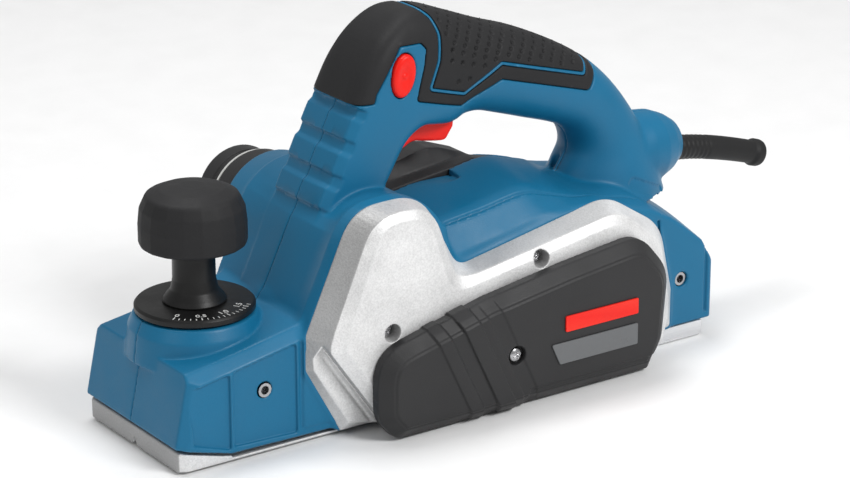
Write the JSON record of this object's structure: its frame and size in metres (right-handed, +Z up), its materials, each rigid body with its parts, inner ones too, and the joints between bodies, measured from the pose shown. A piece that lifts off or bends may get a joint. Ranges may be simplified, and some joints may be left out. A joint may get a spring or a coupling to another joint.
{
  "type": "hand-held electric planer",
  "caption": "Corded hand-held electric planer with depth knob, belt-driven cutter drum, D-handle with trigger and side chip outlet.",
  "frame": {"origin": "bottom centre of the bounding box, on the plane of the rear sole", "axes": "+X to the rear (cord end), +Y to the chip-outlet side, -Y to the belt side, +Z up"},
  "size_m": [0.3709, 0.162, 0.1832],
  "materials": {
    "blue_housing": "satin moulded, fine spark texture",
    "soft_grip": "matt soft overmould",
    "black_plastic": "fine grained matt",
    "dark_grey_plastic": "satin moulded",
    "light_nylon": "natural",
    "black_rubber": "matt",
    "red_plastic": "semi-gloss",
    "cast_aluminium": "die-cast, bead-blasted",
    "steel": "turned",
    "blade_steel": "ground",
    "brass": "turned",
    "copper": "turned copper",
    "laminations": "stamped stack",
    "carbon": "pressed carbon"
  },
  "bodies": {
    "body": {"left_housing": "blue_housing", "right_housing": "blue_housing", "front_cap_grip": "soft_grip", "grip_overmold": "soft_grip", "duct_cover": "dark_grey_plastic", "chip_outlet_collar": "dark_grey_plastic", "chip_outlet_tube": "dark_grey_plastic", "belt_cover": "dark_grey_plastic", "brush_holder_1": "dark_grey_plastic", "brush_holder_2": "dark_grey_plastic", "switch_module": "dark_grey_plastic", "chip_outlet_ring": "light_nylon", "cord_clamp": "light_nylon", "suppressor": "light_nylon", "cord_sleeve": "black_rubber", "drive_belt": "black_rubber", "rear_sole": "cast_aluminium", "side_plate": "cast_aluminium", "right_bearing_cap": "cast_aluminium", "plate_screw_front": "steel", "plate_screw_rear": "steel", "cover_screw": "steel", "detent_spring": "steel", "drum_bearing_left": "steel", "drum_bearing_right": "steel", "motor_bearing_left": "steel", "motor_bearing_right": "steel", "trigger_pin": "steel", "side_insert_left_front": "steel", "side_insert_left_rear": "steel", "side_insert_right_front": "steel", "side_insert_right_rear": "steel", "motor_stator": "laminations", "carbon_brush_1": "carbon", "carbon_brush_2": "carbon"},
    "depth_knob": {"depth_screw": "steel", "depth_dial": "black_plastic", "knob_stem": "black_plastic", "depth_knob": "black_plastic"},
    "front_shoe": {"front_shoe": "cast_aluminium", "depth_nut": "brass"},
    "cutter_drum": {"cutter_drum": "cast_aluminium", "planer_blade_1": "blade_steel", "planer_blade_2": "blade_steel", "blade_clamp_1": "steel", "blade_clamp_2": "steel", "clamp_bolt_1_left": "steel", "clamp_bolt_1_right": "steel", "clamp_bolt_2_left": "steel", "clamp_bolt_2_right": "steel", "drum_shaft": "steel", "drum_pulley": "steel"},
    "armature": {"armature_shaft": "steel", "armature_core": "laminations", "commutator": "copper", "cooling_fan": "light_nylon", "motor_pulley": "steel"},
    "trigger": {"trigger": "red_plastic"},
    "lock_button": {"lock_button": "red_plastic"}
  },
  "joints": [
    {"name": "depth_knob_turn", "type": "hinge", "parent": "body", "child": "depth_knob", "pos_m": [-0.1499, -0.011, 0.06], "axis": [0, 0, 1], "range_deg": [-36.2, 60.2]},
    {"name": "front_shoe_slide", "type": "slide", "parent": "body", "child": "front_shoe", "axis": [0, 0, 1], "range_m": [-0.001, 0.0006]},
    {"name": "cutter_drum_spin", "type": "hinge", "parent": "body", "child": "cutter_drum", "pos_m": [-0.0716, -0.011, 0.028], "axis": [0, 1, 0], "continuous": true},
    {"name": "armature_spin", "type": "hinge", "parent": "body", "child": "armature", "pos_m": [0.0444, -0.011, 0.044], "axis": [0, 1, 0], "continuous": true},
    {"name": "trigger_pull", "type": "hinge", "parent": "body", "child": "trigger", "pos_m": [-0.0346, -0.011, 0.137], "axis": [0, -1, 0], "range_deg": [0, 10], "stiffness_Nm_per_rad": 0.15, "springref_deg": -11.46},
    {"name": "lock_button_push", "type": "slide", "parent": "body", "child": "lock_button", "axis": [0, 1, 0], "range_m": [0, 0.004], "stiffness_N_per_m": 200, "springref_m": -0.004}
  ],
  "couplings": [
    {"joint": "depth_knob_turn", "follows": "front_shoe_slide", "rad_per_m": -1047.2},
    {"joint": "armature_spin", "follows": "cutter_drum_spin", "ratio": 1.1538}
  ]
}
